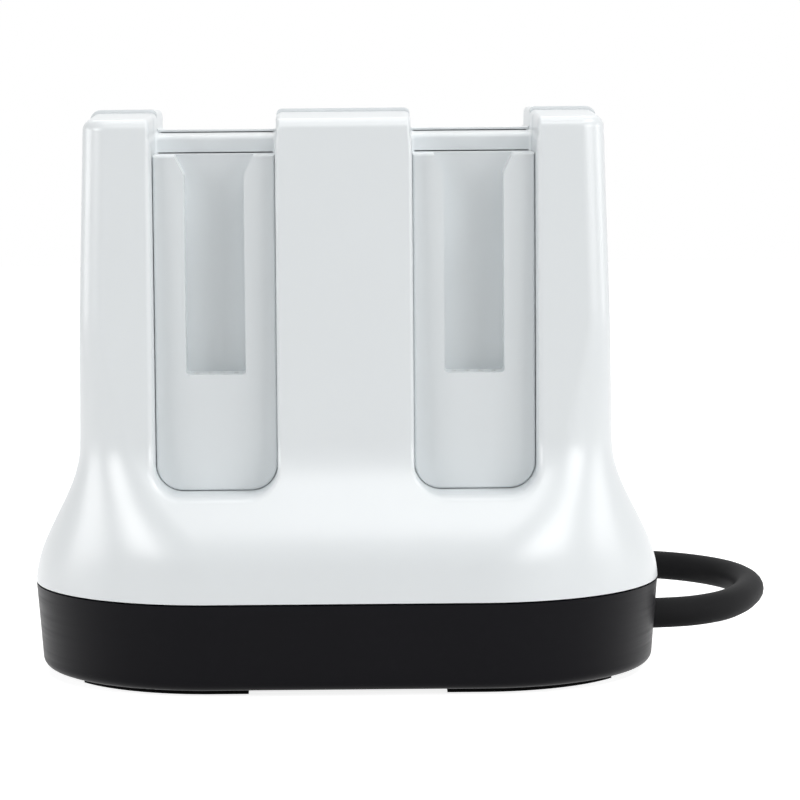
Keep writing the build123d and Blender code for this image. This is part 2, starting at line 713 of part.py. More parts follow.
with BuildPart() as foot_front_right:
    add(foot_strip(RIGHT, -1, 0.0, FOOT_HEIGHT + FOOT_RECESS, 0.0))
foot_front_right.part.label = "foot_front_right"
export_step(foot_front_right.part, "parts/foot_front_right.step")

with BuildPart() as foot_rear_left:
    add(foot_strip(LEFT, 1, 0.0, FOOT_HEIGHT + FOOT_RECESS, 0.0))
foot_rear_left.part.label = "foot_rear_left"
export_step(foot_rear_left.part, "parts/foot_rear_left.step")

with BuildPart() as foot_rear_right:
    add(foot_strip(RIGHT, 1, 0.0, FOOT_HEIGHT + FOOT_RECESS, 0.0))
foot_rear_right.part.label = "foot_rear_right"
export_step(foot_rear_right.part, "parts/foot_rear_right.step")

# Screws up through the tray's columns into the bosses of both housings
with BuildPart() as base_screws:
    for x, y in corner_columns:
        add(screw(Plane((x, y, screw_seat_z)), BASE_SCREW_LENGTH))
base_screws.part.label = "base_screws"
export_step(base_screws.part, "parts/base_screws.step")

# Ballast plate on the tray's floor, over the stakes and round the standoffs
with BuildPart() as ballast_plate:
    with BuildSketch(Plane.XY.offset(floor_top)):
        RectangleRounded(BALLAST_WIDTH, BALLAST_DEPTH, BALLAST_CORNER)
        with Locations(*stakes):
            Circle(STAKE_DIAMETER / 2 + PLATE_CLEARANCE, mode=Mode.SUBTRACT)
        with Locations(*standoffs):
            Circle(STANDOFF_DIAMETER / 2 + PLATE_CLEARANCE, mode=Mode.SUBTRACT)
    extrude(amount=BALLAST_THICKNESS)
ballast_plate.part.label = "ballast_plate"
export_step(ballast_plate.part, "parts/ballast_plate.step")

# Main charging board with its chips, headers and screws
with BuildPart() as main_board:
    with BuildSketch(Plane.XY.offset(board_bottom)):
        RectangleRounded(MAIN_BOARD_WIDTH, MAIN_BOARD_DEPTH, MAIN_BOARD_CORNER)
        with Locations(*standoffs):
            Circle(screw_hole / 2, mode=Mode.SUBTRACT)
    extrude(amount=MAIN_BOARD_THICKNESS)
main_board.part.label = "main_board"
export_step(main_board.part, "parts/main_board.step")

with BuildPart() as main_board_chips:
    with BuildSketch(Plane.XY.offset(board_top)):
        with Locations((CHIP_X, CHIP_Y)):
            Rectangle(CHIP_SIZE, CHIP_SIZE)
        with Locations((SMALL_CHIP_X, SMALL_CHIP_Y), (SMALL_CHIP_LEFT_X, SMALL_CHIP_Y)):
            Rectangle(SMALL_CHIP_WIDTH, SMALL_CHIP_DEPTH)
    extrude(amount=CHIP_HEIGHT)
    with BuildSketch(Plane.XY.offset(board_top)):
        with Locations((INDUCTOR_X, INDUCTOR_Y)):
            Rectangle(INDUCTOR_SIZE, INDUCTOR_SIZE)
    extrude(amount=INDUCTOR_HEIGHT)
    with BuildSketch(Plane.XY.offset(board_top)):
        with Locations((CAPACITOR_X, CAPACITOR_Y)):
            Circle(CAPACITOR_DIAMETER / 2)
    extrude(amount=CAPACITOR_HEIGHT)
main_board_chips.part.label = "main_board_chips"
export_step(main_board_chips.part, "parts/main_board_chips.step")

with BuildPart() as main_board_headers:
    with BuildSketch(Plane.XY.offset(board_top)):
        with Locations((-HEADER_X, HEADER_Y), (HEADER_X, HEADER_Y)):
            Rectangle(HEADER_LENGTH, HEADER_WIDTH)
        with Locations((POWER_HEADER_X, POWER_HEADER_Y)):
            Rectangle(HEADER_WIDTH, HEADER_LENGTH)
    extrude(amount=HEADER_HEIGHT)
main_board_headers.part.label = "main_board_headers"
export_step(main_board_headers.part, "parts/main_board_headers.step")

with BuildPart() as main_board_screws:
    for x, y in standoffs:
        add(screw(Plane((x, y, board_top), x_dir=(1, 0, 0), z_dir=(0, 0, -1)), MAIN_SCREW_LENGTH))
main_board_screws.part.label = "main_board_screws"
export_step(main_board_screws.part, "parts/main_board_screws.step")

# Bush in the wall of the base: a neck flush with the outside, and a flange against the inside
with BuildPart() as bush_neck:
    with BuildSketch(exit_plane.offset(-bush_depth)):
        Circle(BUSH_DIAMETER / 2)
    extrude(amount=2 * bush_depth)
    add(base_form(FOOT_HEIGHT, base_top, 0.0), mode=Mode.INTERSECT)
with BuildPart() as cable_bush:
    with BuildSketch(exit_plane.offset(-bush_depth)):
        Circle(BUSH_FLANGE_DIAMETER / 2)
    extrude(amount=bush_depth)
    add(base_form(floor_top, base_top, BASE_WALL), mode=Mode.INTERSECT)
    add(bush_neck.part)
    with BuildSketch(exit_plane.offset(-2 * bush_depth)):
        Circle(cord_radius + BUSH_CLEARANCE)
    extrude(amount=4 * bush_depth, mode=Mode.SUBTRACT)
cable_bush.part.label = "cable_bush"
export_step(cable_bush.part, "parts/cable_bush.step")

# Cord inside the base: the jacket ends past the bush, thin wires go on to the power header
lead_start = exit_point - exit_dir * EXIT_SINK
tail_end = lead_start - exit_dir * TAIL_LENGTH
header_side = Vector(POWER_HEADER_X + HEADER_WIDTH / 2, POWER_HEADER_Y, board_top + HEADER_HEIGHT / 2)
tail_route = [
    tuple(tail_end + exit_dir),
    tuple(tail_end - exit_dir * 3.0),
    tuple(header_side + Vector(8.0, 1.0, -1.5)),
    tuple(header_side + Vector(4.0, 0, 0)),
    tuple(header_side),
]
with BuildPart() as cable_tail:
    with BuildSketch(Plane(tail_end, z_dir=exit_dir)):
        Circle(cord_radius)
    extrude(amount=TAIL_LENGTH)
    add(round_tube(tail_route, TAIL_WIRES_DIAMETER))
cable_tail.part.label = "cable_tail"
export_step(cable_tail.part, "parts/cable_tail.step")

# Cord's lead: out of the bush, round to the rear and on to the coil
lead_route = [
    tuple(lead_start),
    tuple(exit_point + exit_dir * EXIT_RUN),
    (61.4, 7.9, EXIT_Z),
    (66.2, 13.0, EXIT_Z),
    (70.0, 21.4, EXIT_Z + 0.1),
    (72.6, 32.4, EXIT_Z + 0.1),
    (70.2, 45.2, EXIT_Z + 0.2),
    (62.0, 55.6, EXIT_Z + 0.2),
    (50.0, COIL_TANGENT_Y + 1.4, upper_turn_z),
    (COIL_X + COIL_LEAD_IN + 12.7, COIL_TANGENT_Y, upper_turn_z),
    (COIL_X + COIL_LEAD_IN, COIL_TANGENT_Y, upper_turn_z),
]
with BuildPart() as cable_lead:
    add(round_tube(lead_route, CORD_DIAMETER))
cable_lead.part.label = "cable_lead"
export_step(cable_lead.part, "parts/cable_lead.step")
lead_length = cable_lead.part.volume / (pi * cord_radius**2)
print("lead bend radii", [round(radius, 1) for radius in bend_radii(lead_route)])
print("lead length", round(lead_length, 1))

# Put-away turns, two side by side in two layers, with straight ends to the lead and the plug
coil_inner = COIL_MID_RADIUS - CORD_DIAMETER
tie_plane = Plane((COIL_X, coil_y, 0), x_dir=(0, 1, 0), z_dir=(1, 0, 0))


def turns_section(inset):
    """Outline of the bundled turns at the far side, set in by the tie's thickness where asked."""
    with Locations((COIL_MID_RADIUS, CORD_DIAMETER)):
        RectangleRounded(
            2 * (CORD_DIAMETER - inset),
            2 * (CORD_DIAMETER - inset),
            cord_radius - inset,
        )


with BuildPart() as tie_groove:
    with BuildSketch(tie_plane.offset(-TIE_WIDTH / 2 - TIE_CLEARANCE)):
        with Locations((COIL_MID_RADIUS, CORD_DIAMETER)):
            Rectangle(3 * CORD_DIAMETER, 3 * CORD_DIAMETER)
    extrude(amount=TIE_WIDTH + 2 * TIE_CLEARANCE)
    with BuildSketch(tie_plane.offset(-TIE_WIDTH)):
        turns_section(TIE_THICKNESS + TIE_CLEARANCE)
    extrude(amount=2 * TIE_WIDTH, mode=Mode.SUBTRACT)
with BuildPart() as cable_coil:
    with BuildSketch(tie_plane):
        turns_section(0.0)
    revolve(axis=Axis((COIL_X, coil_y, 0), (0, 0, 1)))
    with BuildSketch(Plane((COIL_X, COIL_TANGENT_Y, upper_turn_z), z_dir=(1, 0, 0))):
        Circle(cord_radius)
    extrude(amount=COIL_LEAD_IN)
    with BuildSketch(Plane((COIL_X, COIL_TANGENT_Y, lower_turn_z), z_dir=(-1, 0, 0))):
        Circle(cord_radius)
    extrude(amount=COIL_LEAD_IN)
    add(tie_groove.part, mode=Mode.SUBTRACT)
cable_coil.part.label = "cable_coil"
export_step(cable_coil.part, "parts/cable_coil.step")

# Tie round the turns at the far side
with BuildPart() as cable_tie:
    with BuildSketch(tie_plane.offset(-TIE_WIDTH / 2)):
        turns_section(0.0)
    extrude(amount=TIE_WIDTH)
    with BuildSketch(tie_plane.offset(-TIE_HEAD_WIDTH / 2)):
        with Locations((COIL_MID_RADIUS + CORD_DIAMETER, CORD_DIAMETER)):
            Rectangle(TIE_HEAD_DEPTH, TIE_HEAD_HEIGHT, align=(Align.MIN, Align.CENTER))
    extrude(amount=TIE_HEAD_WIDTH)
    with BuildSketch(tie_plane.offset(-TIE_WIDTH)):
        turns_section(TIE_THICKNESS)
    extrude(amount=2 * TIE_WIDTH, mode=Mode.SUBTRACT)
cable_tie.part.label = "cable_tie"
export_step(cable_tie.part, "parts/cable_tie.step")

# Plug: moulded grip with a ringed relief, plated shell, tongue inside the shell
with BuildPart() as usb_plug_grip:
    with BuildSketch(Plane((grip_x, COIL_TANGENT_Y, plug_z), x_dir=(0, -1, 0), z_dir=(-1, 0, 0))):
        RectangleRounded(PLUG_GRIP_WIDTH, PLUG_GRIP_HEIGHT, PLUG_GRIP_CORNER)
    extrude(amount=PLUG_GRIP_LENGTH)
    fillet(usb_plug_grip.faces().sort_by(Axis.X)[-1].edges(), PLUG_GRIP_CORNER * 0.6)
    with BuildSketch(Plane((plug_x, COIL_TANGENT_Y, PLUG_RELIEF_DIAMETER / 2), z_dir=(-1, 0, 0))):
        Circle(PLUG_RELIEF_DIAMETER / 2)
    extrude(amount=PLUG_RELIEF_LENGTH + PLUG_GRIP_LENGTH / 2)
    ring_pitch = PLUG_RELIEF_LENGTH / (PLUG_RELIEF_RINGS + 0.5)
    for i in range(PLUG_RELIEF_RINGS):
        ring_x = plug_x - (i + 0.5) * ring_pitch
        with BuildSketch(Plane((ring_x, COIL_TANGENT_Y, PLUG_RELIEF_DIAMETER / 2), z_dir=(-1, 0, 0))):
            Circle(PLUG_RELIEF_DIAMETER)
            Circle(PLUG_RELIEF_DIAMETER * 0.42, mode=Mode.SUBTRACT)
        extrude(amount=ring_pitch * 0.4, mode=Mode.SUBTRACT)
usb_plug_grip.part.label = "usb_plug_grip"
export_step(usb_plug_grip.part, "parts/usb_plug_grip.step")

shell_plane = Plane((shell_x, COIL_TANGENT_Y, plug_z), x_dir=(0, -1, 0), z_dir=(-1, 0, 0))
with BuildPart() as usb_plug_shell:
    with BuildSketch(shell_plane):
        RectangleRounded(PLUG_SHELL_WIDTH, PLUG_SHELL_HEIGHT, 2 * PLUG_SHELL_WALL)
        RectangleRounded(
            PLUG_SHELL_WIDTH - 2 * PLUG_SHELL_WALL,
            PLUG_SHELL_HEIGHT - 2 * PLUG_SHELL_WALL,
            PLUG_SHELL_WALL,
            mode=Mode.SUBTRACT,
        )
    extrude(amount=PLUG_SHELL_LENGTH)
    with BuildSketch(Plane((shell_x - PLUG_SHELL_LENGTH / 2, COIL_TANGENT_Y, 0))):
        with GridLocations(0, PLUG_SHELL_WIDTH * 0.42, 1, 2):
            Rectangle(2.2, 2.2)
    extrude(amount=PLUG_GRIP_HEIGHT, mode=Mode.SUBTRACT)
usb_plug_shell.part.label = "usb_plug_shell"
export_step(usb_plug_shell.part, "parts/usb_plug_shell.step")

with BuildPart() as usb_plug_tongue:
    with BuildSketch(shell_plane):
        with Locations((0, PLUG_SHELL_HEIGHT / 2 - PLUG_SHELL_WALL)):
            Rectangle(
                PLUG_SHELL_WIDTH - 4 * PLUG_SHELL_WALL,
                PLUG_TONGUE_HEIGHT,
                align=(Align.CENTER, Align.MAX),
            )
    extrude(amount=PLUG_TONGUE_LENGTH)
usb_plug_tongue.part.label = "usb_plug_tongue"
export_step(usb_plug_tongue.part, "parts/usb_plug_tongue.step")

turns = 4
coil_length = turns * 2 * pi * COIL_MID_RADIUS + 2 * COIL_LEAD_IN
print("cord length", round(lead_length + coil_length, 1))
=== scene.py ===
import json
import math

import bmesh
import bpy
import numpy as np
from mathutils import Euler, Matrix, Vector


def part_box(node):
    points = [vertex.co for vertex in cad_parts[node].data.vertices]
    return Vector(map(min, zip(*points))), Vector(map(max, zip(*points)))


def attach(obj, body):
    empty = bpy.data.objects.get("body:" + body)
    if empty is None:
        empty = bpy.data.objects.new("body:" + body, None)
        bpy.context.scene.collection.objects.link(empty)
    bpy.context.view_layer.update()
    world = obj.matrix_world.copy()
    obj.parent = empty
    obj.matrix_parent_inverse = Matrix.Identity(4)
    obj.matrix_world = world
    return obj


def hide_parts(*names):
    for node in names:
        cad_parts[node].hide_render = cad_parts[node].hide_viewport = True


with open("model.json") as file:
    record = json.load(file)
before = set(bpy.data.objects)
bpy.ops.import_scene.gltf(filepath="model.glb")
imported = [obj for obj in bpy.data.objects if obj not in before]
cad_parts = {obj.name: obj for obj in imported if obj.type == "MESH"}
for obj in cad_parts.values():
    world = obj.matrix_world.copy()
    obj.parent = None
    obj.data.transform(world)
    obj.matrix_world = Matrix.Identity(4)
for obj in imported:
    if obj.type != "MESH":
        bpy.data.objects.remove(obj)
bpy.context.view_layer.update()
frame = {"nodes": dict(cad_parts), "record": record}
scene = bpy.context.scene
MM = 0.001

# Sizes of the dock in millimetres, the same as in the part's source
RIM_HALF_WIDTH = 52.6
RIM_HALF_DEPTH = 31.0
END_FLAT = 1.0
TOP_HALF_WIDTH = 42.4
TOP_HALF_DEPTH = 20.8
TOP_CORNER = 4.0
BODY_TOP = 94.0
SIDE_FLARE_TOP = 39.4
FRONT_FLARE_TOP = 41.0
FRONT_FLARE_END = 20.5
DRAFT = 0.03
TOP_ROUND = 1.8
SEAM_Z = 15.4
PARTING = 0.1
BAY_X = 21.2
BAY_CORNER = 4.5
BAY_FLOOR_Y = -7.8
CROSSBAR_ROUND = 0.8

# Sizes in millimetres that differ from the solids or are finer: crowned tops with the rear half a little proud, tight
# panel gaps, corners that swell above the flare, soft edges and dark joints
FRONT_TOP = 93.87
REAR_TOP = 94.44
CROWN = 0.0247
CORNER_SWELL = 5.0
SWELL_TOP = 62.0
SWELL_END = 38.0
BAY_HALF_WIDTH = 10.05
BAY_BOTTOM = 32.25
INNER_EDGE = 0.5
POST_EDGE = 1.15
PILLAR_EDGE = 0.6
EDGE_CHANGE_X = 12.5
EDGE_CHANGE_SPAN = 4.0
NOTCH_EDGE = 0.9
NOTCH_EDGE_Z = 87.0
NOTCH_EDGE_SPAN = 5.0
FRONT_NOTCH = 90.53
REAR_NOTCH = 90.99
JOINT_DEPTH = 3.0
JOINT_END = 0.6
PANEL_JOINT = 0.2
LAP_JOINT = 0.16

# Grid over the housing in millimetres: its ends, the room past the cuts, and the places where it is fine
GRID_HALF_WIDTH = 54.0
GRID_DEPTH = 32.0
GRID_PAST_CUT = 3.0
CAP_BELOW_RIM = 2.2
CAP_PAST_PARTING = 2.0
BAY_EDGES_X = (-31.6, -10.8, 10.8, 31.6)
BAY_EDGE_ZONE = 2.6
FINE_HEIGHTS = [(30.0, 38.0), (88.0, 95.0)]
FINE_DEPTHS = [(-24.0, -20.0)]
EVENING_ROUNDS = 8

# Cord sizes in metres
CORD_DIAMETER = 0.0052
COIL_X = 0.004
COIL_TANGENT_Y = 0.0584
COIL_MID_RADIUS = 0.028
COIL_LEAD_IN = 0.0205
PLUG_LEAD_Z = 0.0026


# Materials


def new_material(name):
    material = bpy.data.materials.new(name)
    material.use_nodes = True
    return material, material.node_tree.nodes, material.node_tree.links


def noise(nodes, links, scale, detail=3.0, roughness=0.5, stretch=(1.0, 1.0, 1.0)):
    """Noise over the piece's own coordinates, in repeats a metre."""
    place = nodes.new("ShaderNodeTexCoord")
    mapping = nodes.new("ShaderNodeMapping")
    mapping.inputs["Scale"].default_value = stretch
    links.new(place.outputs["Object"], mapping.inputs["Vector"])
    texture = nodes.new("ShaderNodeTexNoise")
    texture.inputs["Scale"].default_value = scale
    texture.inputs["Detail"].default_value = detail
    texture.inputs["Roughness"].default_value = roughness
    links.new(mapping.outputs["Vector"], texture.inputs["Vector"])
    return texture


def spread(nodes, links, source, low, high):
    """Maps a 0 to 1 value to a range."""
    ramp = nodes.new("ShaderNodeMapRange")
    ramp.inputs["From Min"].default_value = 0.3
    ramp.inputs["From Max"].default_value = 0.7
    ramp.inputs["To Min"].default_value = low
    ramp.inputs["To Max"].default_value = high
    links.new(source, ramp.inputs["Value"])
    return ramp.outputs["Result"]


def moulded_plastic(name, colour, shade, roughness, grain_scale, grain_depth, specular=0.5, wiped=False):
    """Moulded plastic: cloudy tint, uneven gloss and a fine eroded grain."""
    material, nodes, links = new_material(name)
    shader = nodes["Principled BSDF"]
    shader.inputs["Specular IOR Level"].default_value = specular
    clouds = noise(nodes, links, 45.0, 4.0)
    tint = nodes.new("ShaderNodeMix")
    tint.data_type = "RGBA"
    tint.inputs["A"].default_value = (*[c * (1 - shade) for c in colour], 1)
    tint.inputs["B"].default_value = (*colour, 1)
    links.new(spread(nodes, links, clouds.outputs["Fac"], 0.0, 1.0), tint.inputs["Factor"])
    links.new(tint.outputs["Result"], shader.inputs["Base Color"])
    change = 0.05 if wiped else 0.012
    smears = noise(nodes, links, 160.0, 5.0, 0.6, (0.2, 0.2, 9.0) if wiped else (1.0, 1.0, 1.0))
    links.new(
        spread(nodes, links, smears.outputs["Fac"], roughness - change, roughness + change), shader.inputs["Roughness"]
    )
    grain = noise(nodes, links, grain_scale, 2.0)
    bump = nodes.new("ShaderNodeBump")
    bump.inputs["Strength"].default_value = 0.25
    bump.inputs["Distance"].default_value = grain_depth
    links.new(grain.outputs["Fac"], bump.inputs["Height"])
    links.new(bump.outputs["Normal"], shader.inputs["Normal"])
    return material


def brushed_metal(name, colour, roughness):
    material, nodes, links = new_material(name)
    shader = nodes["Principled BSDF"]
    shader.inputs["Metallic"].default_value = 1.0
    scuffs = noise(nodes, links, 900.0, 4.0)
    tint = nodes.new("ShaderNodeMix")
    tint.data_type = "RGBA"
    tint.inputs["A"].default_value = (*[c * 0.8 for c in colour], 1)
    tint.inputs["B"].default_value = (*colour, 1)
    links.new(scuffs.outputs["Fac"], tint.inputs["Factor"])
    links.new(tint.outputs["Result"], shader.inputs["Base Color"])
    links.new(
        spread(nodes, links, scuffs.outputs["Fac"], roughness - 0.06, roughness + 0.06), shader.inputs["Roughness"]
    )
    return material


white_plastic = moulded_plastic("white_plastic", (0.772, 0.805, 0.82), 0.012, 0.31, 5200.0, 0.000006, specular=1.0)
# The panels are the same white plastic made a little greyer: the greyer colour is painted shade of the recesses they
# sit in. Their finish is also rougher.
panel_plastic = moulded_plastic("panel_plastic", (0.752, 0.785, 0.8), 0.015, 0.42, 5200.0, 0.000012)
base_plastic = moulded_plastic(
    "base_plastic", (0.0042, 0.004, 0.0056), 0.15, 0.37, 4200.0, 0.000015, specular=0.08, wiped=True
)
foot_rubber = moulded_plastic("foot_rubber", (0.002, 0.002, 0.0022), 0.3, 0.7, 3000.0, 0.00004, specular=0.05)
cord_jacket = moulded_plastic("cord_jacket", (0.02, 0.02, 0.021), 0.2, 0.5, 3600.0, 0.00002, specular=0.02)
tie_plastic = moulded_plastic("tie_plastic", (0.012, 0.012, 0.012), 0.2, 0.45, 3600.0, 0.00002)
plug_plastic = moulded_plastic("plug_plastic", (0.011, 0.011, 0.012), 0.2, 0.42, 3600.0, 0.00003)
insulator = moulded_plastic("insulator", (0.012, 0.012, 0.012), 0.2, 0.55, 3600.0, 0.00002)
board_resin = moulded_plastic("board_resin", (0.012, 0.12, 0.045), 0.2, 0.3, 2500.0, 0.00001)
header_plastic = moulded_plastic("header_plastic", (0.72, 0.69, 0.6), 0.05, 0.4, 3600.0, 0.00001)
wire_jacket = moulded_plastic("wire_jacket", (0.35, 0.02, 0.015), 0.1, 0.4, 3600.0, 0.00001)
contact_metal = brushed_metal("contact_metal", (0.8, 0.6, 0.28), 0.25)
screw_steel = brushed_metal("screw_steel", (0.5, 0.5, 0.5), 0.3)
ballast_steel = brushed_metal("ballast_steel", (0.4, 0.4, 0.41), 0.45)
plated_shell = brushed_metal("plated_shell", (0.72, 0.72, 0.73), 0.18)

SLOT_MATERIALS = {
    "white_housing": white_plastic,
    "panel_plastic": panel_plastic,
    "dark_base": base_plastic,
    "foot_rubber": foot_rubber,
    "insulator": insulator,
    "circuit_board": board_resin,
    "contact_metal": contact_metal,
    "screw_steel": screw_steel,
    "wire_jacket": wire_jacket,
    "header_plastic": header_plastic,
    "ballast_steel": ballast_steel,
    "cord_jacket": cord_jacket,
    "tie_plastic": tie_plastic,
    "plug_plastic": plug_plastic,
    "plug_shell": plated_shell,
}
for entry in frame["record"]["subparts"]:
    node = frame["nodes"][entry["node"]]
    node.data.materials.clear()
    node.data.materials.append(SLOT_MATERIALS[entry["material_slot"]])


# Housing as a distance field: drafted walls, flare, bays, notches and their soft edges


def flare_share(z, top, end):
    """Share of the flare that is reached at a height: 0 above it, 1 below."""
    t = np.clip((top - z) / (top - end), 0.0, 1.0)
    return t * t * (3 - 2 * t)


def half_width(z):
    drafted = TOP_HALF_WIDTH + DRAFT * (BODY_TOP - z)
    flare = RIM_HALF_WIDTH - TOP_HALF_WIDTH - DRAFT * (BODY_TOP - SEAM_Z)
    return drafted + flare * flare_share(z, SIDE_FLARE_TOP, SEAM_Z)


def half_depth(z):
    drafted = TOP_HALF_DEPTH + DRAFT * (BODY_TOP - z)
    flare = RIM_HALF_DEPTH - TOP_HALF_DEPTH - DRAFT * (BODY_TOP - SEAM_Z)
    return drafted + flare * flare_share(z, FRONT_FLARE_TOP, FRONT_FLARE_END)


def rounded_meet(a, b, radius):
    """Overlap of two solids with the edge between them rounded."""
    u = np.maximum(a + radius, 0.0)
    v = np.maximum(b + radius, 0.0)
    return np.minimum(np.maximum(a, b), -radius) + np.sqrt(u * u + v * v)


def housing_field(top, notch_floor):
    """Distance outside the housing's full form, in millimetres, with the top and notch floor of one half."""
    rim_corner = RIM_HALF_DEPTH - END_FLAT / 2

    def field(x, y, z):
        fall = CROWN * np.abs(y)
        flared = (flare_share(z, SIDE_FLARE_TOP, SEAM_Z) + flare_share(z, FRONT_FLARE_TOP, FRONT_FLARE_END)) / 2
        swell = CORNER_SWELL * flare_share(z, SWELL_TOP, SWELL_END) * (1 - flared)
        corner = TOP_CORNER + swell + (rim_corner - TOP_CORNER) * flared
        wall = rounded_meet(np.abs(x) - half_width(z), np.abs(y) - half_depth(z), corner)
        step = 0.05
        slope = (half_depth(z + step) - half_depth(z - step)) / (2 * step)
        wall = wall / np.sqrt(1 + slope * slope)
        body = rounded_meet(wall, z + fall - top, TOP_ROUND)
        across = np.abs(np.abs(x) - BAY_X) - BAY_HALF_WIDTH
        bay = rounded_meet(rounded_meet(across, BAY_BOTTOM - z, BAY_CORNER), y - BAY_FLOOR_Y, INNER_EDGE)
        notch = rounded_meet(across, notch_floor - fall - z, INNER_EDGE)
        cut = -rounded_meet(-bay, -notch, CROSSBAR_ROUND)
        outer = np.clip((np.abs(x) - EDGE_CHANGE_X) / EDGE_CHANGE_SPAN, 0.0, 1.0)
        edge = PILLAR_EDGE + (POST_EDGE - PILLAR_EDGE) * outer * outer * (3 - 2 * outer)
        edge = edge + (NOTCH_EDGE - edge) * np.clip((z - NOTCH_EDGE_Z) / NOTCH_EDGE_SPAN, 0.0, 1.0)
        return rounded_meet(body, -cut, edge)

    return field


def field_slopes(field, points):
    """Gradient of a field at points."""
    step = 0.02
    x, y, z = points.T
    return np.stack(
        [
            field(x + step, y, z) - field(x - step, y, z),
            field(x, y + step, z) - field(x, y - step, z),
            field(x, y, z + step) - field(x, y, z - step),
        ],
        axis=1,
    ) / (2 * step)


def settle(field, points, rounds):
    """Moves points onto the field's surface."""
    for _ in range(rounds):
        slopes = field_slopes(field, points)
        points = points - (field(*points.T) / np.sum(slopes * slopes, axis=1))[:, None] * slopes
    return points


def graded(low, high, step, fine, zones):
    """Grid places from low to high, closer together inside the zones."""
    places = [low]
    while places[-1] < high:
        here = places[-1]
        places.append(here + (fine if any(a <= here < b for a, b in zones) else step))
    return np.array(places)


def net_of_field(field, axes):
    """Quads over a field's surface: one point in each grid cell that the surface crosses, evened out on the surface."""
    values = field(*np.meshgrid(*axes, indexing="ij"))
    inside = values < 0
    cells = np.zeros([n - 1 for n in values.shape], dtype=np.int8)
    corners = [(i, j, k) for i in (0, 1) for j in (0, 1) for k in (0, 1)]
    for c in corners:
        cells += inside[tuple(slice(o, o + n - 1) for o, n in zip(c, inside.shape))]
    active = np.argwhere((cells > 0) & (cells < 8))
    number = np.full(cells.shape, -1, dtype=np.int64)
    number[tuple(active.T)] = np.arange(len(active))
    total = np.zeros((len(active), 3))
    count = np.zeros((len(active), 1))
    for a in corners:
        for axis in range(3):
            if a[axis]:
                continue
            b = tuple(1 if i == axis else a[i] for i in range(3))
            va = values[tuple((active + a).T)]
            vb = values[tuple((active + b).T)]
            crossed = (va < 0) != (vb < 0)
            t = np.where(crossed, va / np.where(crossed, va - vb, 1.0), 0.0)
            point = active + np.array(a, float)
            point[:, axis] += t
            total += point * crossed[:, None]
            count += crossed[:, None]
    place = total / count
    points = np.stack([np.interp(place[:, i], np.arange(len(axes[i])), axes[i]) for i in range(3)], axis=1)
    faces = []
    for axis in range(3):
        u, v = [(1, 2), (2, 0), (0, 1)][axis]
        one = inside[tuple(slice(0, -1) if i == axis else slice(1, -1) for i in range(3))]
        two = inside[tuple(slice(1, None) if i == axis else slice(1, -1) for i in range(3))]
        for sign, crossed in ((1, one & ~two), (-1, ~one & two)):
            at = np.argwhere(crossed)
            ring = []
            for du, dv in ((0, 0), (1, 0), (1, 1), (0, 1))[::sign]:
                cell = at.copy()
                cell[:, u] += du
                cell[:, v] += dv
                ring.append(number[tuple(cell.T)])
            faces.append(np.stack(ring, axis=1))
    faces = np.concatenate(faces)
    points = settle(field, points, 3)
    start = faces.ravel()
    follow = np.roll(faces, -1, axis=1).ravel()
    links = np.maximum(np.bincount(start, minlength=len(points)), 1)
    for _ in range(EVENING_ROUNDS):
        middle = [np.bincount(start, points[follow, i], len(points)) / links for i in range(3)]
        points = settle(field, np.stack(middle, axis=1), 2)
    return points, faces


def cut_joint(form, low, high, push):
    """Sinks the flat strip of a face that lies in a box, as a narrow open joint."""
    low, high = Vector(low) * MM, Vector(high) * MM
    for axis in (0, 2):
        for place in (low, high):
            near = []
            for face in form.faces:
                spots = [vert.co for vert in face.verts]
                if all(min(s[i] for s in spots) <= high[i] and max(s[i] for s in spots) >= low[i] for i in range(3)):
                    near.append(face)
            edges = {edge for face in near for edge in face.edges}
            verts = {vert for face in near for vert in face.verts}
            outward = Vector([1.0 if i == axis else 0.0 for i in range(3)])
            parts = near + list(edges) + list(verts)
            bmesh.ops.bisect_plane(form, geom=parts, dist=1e-7, plane_co=place, plane_no=outward)
    form.normal_update()
    strip = []
    for face in form.faces:
        middle = face.calc_center_bounds()
        if all(low[i] < middle[i] < high[i] for i in range(3)) and abs(face.normal.y) > 0.9:
            strip.append(face)
    moved = bmesh.ops.extrude_face_region(form, geom=strip, use_keep_orig=True)["geom"]
    moved = [part for part in moved if isinstance(part, bmesh.types.BMVert)]
    bmesh.ops.translate(form, verts=moved, vec=Vector(push) * MM)
    bmesh.ops.delete(form, geom=strip, context="FACES")


